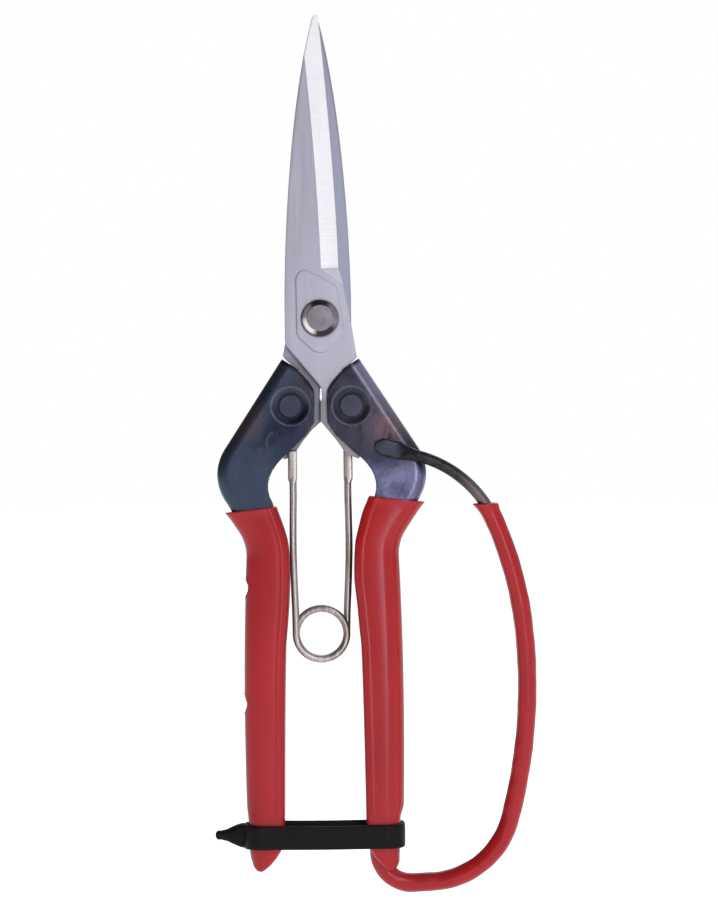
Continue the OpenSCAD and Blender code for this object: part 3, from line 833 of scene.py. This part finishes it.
# ---------------------------------------------------------------- spring
def make_spring(name, node, body, side, depth, coil_turn, foot_inset=0.0):
    """One half of the spring: a leg from its flattened foot down to the coil, and then its part
    of the coil, from angle to angle. side is 1 for the right leg and -1 for the left."""
    steps = 96
    z = np.concatenate([np.linspace(0.3 - SOCKET_DROP, -44, 30), np.linspace(-45, 0.3 - COIL_DROP, 32)])
    flat = smooth(-38.4, -37.3, z)
    lean = np.clip(1.05 * smooth(-50, -COIL_DROP - 4, z), 0, 1)
    bow = 0.16 * np.sin(np.clip((-42 - z) / 26, 0, 1) * math.pi)
    foot = SOCKET_X - foot_inset
    x = foot + (COIL_RADIUS - foot) * lean + bow + 0.10 * flat
    leg = to_world(SPRING_SHIFT + side * x, z, np.full_like(z, depth))
    angle = np.radians(np.linspace(*coil_turn, steps))
    coil = to_world(
        SPRING_SHIFT + COIL_RADIUS * np.cos(angle),
        COIL_RADIUS * np.sin(angle) - COIL_DROP,
        np.linspace(depth, COIL_JOIN_DEPTH, steps),
    )
    centres = np.concatenate([leg, coil])
    flat = np.concatenate([flat, np.zeros(steps)])
    wide = WIRE / 2 * (1 - flat) + FOOT_WIDE * flat
    deep = WIRE / 2 * (1 - flat) + FOOT_DEEP * flat
    tangent = np.gradient(centres, axis=0)
    tangent /= np.linalg.norm(tangent, axis=1)[:, None]
    sides = np.cross(tangent, (0.0, -1.0, 0.0))
    sides /= np.linalg.norm(sides, axis=1)[:, None]
    fronts = np.cross(sides, tangent)
    wire = sweep(name, centres, sides, fronts, wide * MM, deep * MM, 2.0 + 2.2 * flat, 20)
    fit(wire, wire_steel, body, node)


make_spring("spring_wire_left", "spring_left_leg", "spring_left", -1, LEFT_DEPTH, (180, 540), foot_inset=0.25)
make_spring("spring_wire_right", "spring_right_leg", "spring_right", 1, RIGHT_DEPTH, (0, -180))


# ---------------------------------------------------------------- keeper
def rounded_loop(half_x, half_y, radius, spacing=0.4):
    """Points and outward normals round a rectangle with rounded corners."""
    x, y = half_x - radius, half_y - radius
    centres = np.array([(x, y), (-x, y), (-x, -y), (x, -y)])
    points, normals = [], []
    for i, centre in enumerate(centres):
        turned = arc((0, 0), 1, 1, 90 * i, 90 * i + 90, 16)
        start = centre + radius * turned[-1]
        stop = centres[(i + 1) % 4] + radius * turned[-1]
        straight = between(start, stop, max(2, int(np.linalg.norm(stop - start) / spacing)))
        points += [centre + radius * turned, straight]
        normals += [turned, np.tile(turned[-1], (len(straight), 1))]
    return np.concatenate(points), np.concatenate(normals)


KEEPER_TURN = np.linspace(0, 2 * math.pi, 28, endpoint=False)
KEEPER_COS, KEEPER_SIN = np.cos(KEEPER_TURN), np.sin(KEEPER_TURN)


def make_band():
    """The stretched loop, a touch thinner and sagging along its free strands."""
    points, normals = rounded_loop(
        BAND_INNER + BAND_THICKNESS / 2,
        MID - 0.1 + BAND_THICKNESS / 2,
        BAND_CORNER + BAND_THICKNESS / 2,
    )
    across, up = rounded_box(KEEPER_COS, KEEPER_SIN, 5.0)
    rings = []
    for (x, y), (nx, ny) in zip(points, normals):
        stretch = hump(x, 14.0, 4)
        out = across * BAND_THICKNESS / 2 * (1 - 0.10 * stretch)
        high = up * BAND_HEIGHT / 2 * (1 - 0.035 * stretch)
        sag = 0.12 * hump(x, 10.0)
        rings.append(to_world(x + nx * out + BAND_SHIFT, high - BAND_DROP - sag, MID - y - ny * out))
    rings.append(rings[0])
    fit(loft("keeper_band", rings, close_ends=False), rubber, "keeper", "keeper_loop")


def make_tab():
    """The pull tab on the band's left end: it tapers to a ribbed neck with a rounded tip."""
    taper = np.linspace(-0.5, TAB_NECK, 34)
    reach = np.concatenate([taper, TAB_NECK + TAB_TIP * np.sin(np.linspace(0.1, math.pi / 2, 10))])
    rings = []
    for r in reach:
        share = smooth(0.6, 6.2, r)
        past_neck = max(r - TAB_NECK, 0.0) / (TAB_TIP + 0.01)
        rib = 1 - 0.05 * (0.5 + 0.5 * math.cos(r * 4.2)) * smooth(3.0, 4.4, r)
        size = rib * math.sqrt(1 - past_neck**2)
        across, up = rounded_box(KEEPER_COS, KEEPER_SIN, 5.0 - 2.4 * share)
        # the root's lower side starts further in than its upper side
        slant = 0.32 * (1 - KEEPER_SIN) * (1 - share)
        x = BAND_SHIFT - BAND_INNER - BAND_THICKNESS / 2 - r + slant
        high = up * BAND_HEIGHT / 2 * (1 - 0.61 * share) * size
        deep = across * TAB_DEEP * (1 - 0.5 * share) * size
        rings.append(to_world(x, high - BAND_DROP + 0.15 * share, MID - deep))
    fit(loft("keeper_tab", rings), rubber, "keeper")


make_band()
make_tab()


# ---------------------------------------------------------------- floor, light and camera
def make_floor():
    level = cad_box[0][Z] - FLOOR_GAP * MM
    bpy.ops.mesh.primitive_circle_add(vertices=96, radius=6.0, fill_type="NGON", location=(0, 0, level))
    floor = bpy.context.object
    floor.name = "floor"
    dress(floor, pale_floor())


def soft_light(name, place, size, power):
    """A rectangle of light aimed at the snips' middle. Metres and watts."""
    target = Vector((0, 0, -0.03))
    data = bpy.data.lights.new(name, "AREA")
    data.shape = "RECTANGLE"
    data.size, data.size_y = size
    data.energy = power
    light = bpy.data.objects.new(name, data)
    bpy.context.scene.collection.objects.link(light)
    light.location = place
    light.rotation_euler = (target - Vector(place)).to_track_quat("-Z", "Y").to_euler()
    light.visible_camera = False


def make_world():
    """White to the camera. As light it is soft, and stronger from the right."""
    world = bpy.data.worlds.new("studio")
    bpy.context.scene.world = world
    world.use_nodes = True
    tree = world.node_tree
    tree.nodes.clear()
    coords, split, side, lit, seen, path, mix, out = (
        tree.nodes.new("ShaderNode" + kind)
        for kind in (
            "TexCoord", "SeparateXYZ", "MapRange", "Background", "Background",
            "LightPath", "MixShader", "OutputWorld",
        )
    )
    side.interpolation_type = "SMOOTHSTEP"
    for key, value in (("From Min", -0.7), ("From Max", 0.8), ("To Min", 0.14), ("To Max", 0.72)):
        side.inputs[key].default_value = value
    lit.inputs["Color"].default_value = (0.98, 0.98, 1.0, 1)
    seen.inputs["Color"].default_value = (1, 1, 1, 1)
    for start, end in (
        (coords.outputs["Generated"], split.inputs[0]),
        (split.outputs[X], side.inputs["Value"]),
        (side.outputs["Result"], lit.inputs["Strength"]),
        (path.outputs["Is Camera Ray"], mix.inputs[0]),
        (lit.outputs[0], mix.inputs[1]),
        (seen.outputs[0], mix.inputs[2]),
        (mix.outputs[0], out.inputs["Surface"]),
    ):
        tree.links.new(start, end)


def make_camera():
    data = bpy.data.cameras.new("camera")
    data.sensor_width = SENSOR
    data.lens = VIEW_DISTANCE / VIEW_HEIGHT * SENSOR
    data.clip_start = 0.01
    camera = bpy.data.objects.new("camera", data)
    bpy.context.scene.collection.objects.link(camera)
    camera.location = to_world(VIEW_CENTRE[0], VIEW_CENTRE[1], MID + VIEW_DISTANCE)
    camera.rotation_euler = (math.pi / 2, math.radians(VIEW_ROLL), 0)
    bpy.context.scene.camera = camera


make_floor()
make_world()
soft_light("key", place=(0.19, -0.68, 0.02), size=(0.17, 0.9), power=2.3)
soft_light("rear", place=(0.1, 0.6, 0.35), size=(0.6, 0.4), power=1.0)
make_camera()
bpy.context.scene.view_settings.view_transform = "Standard"
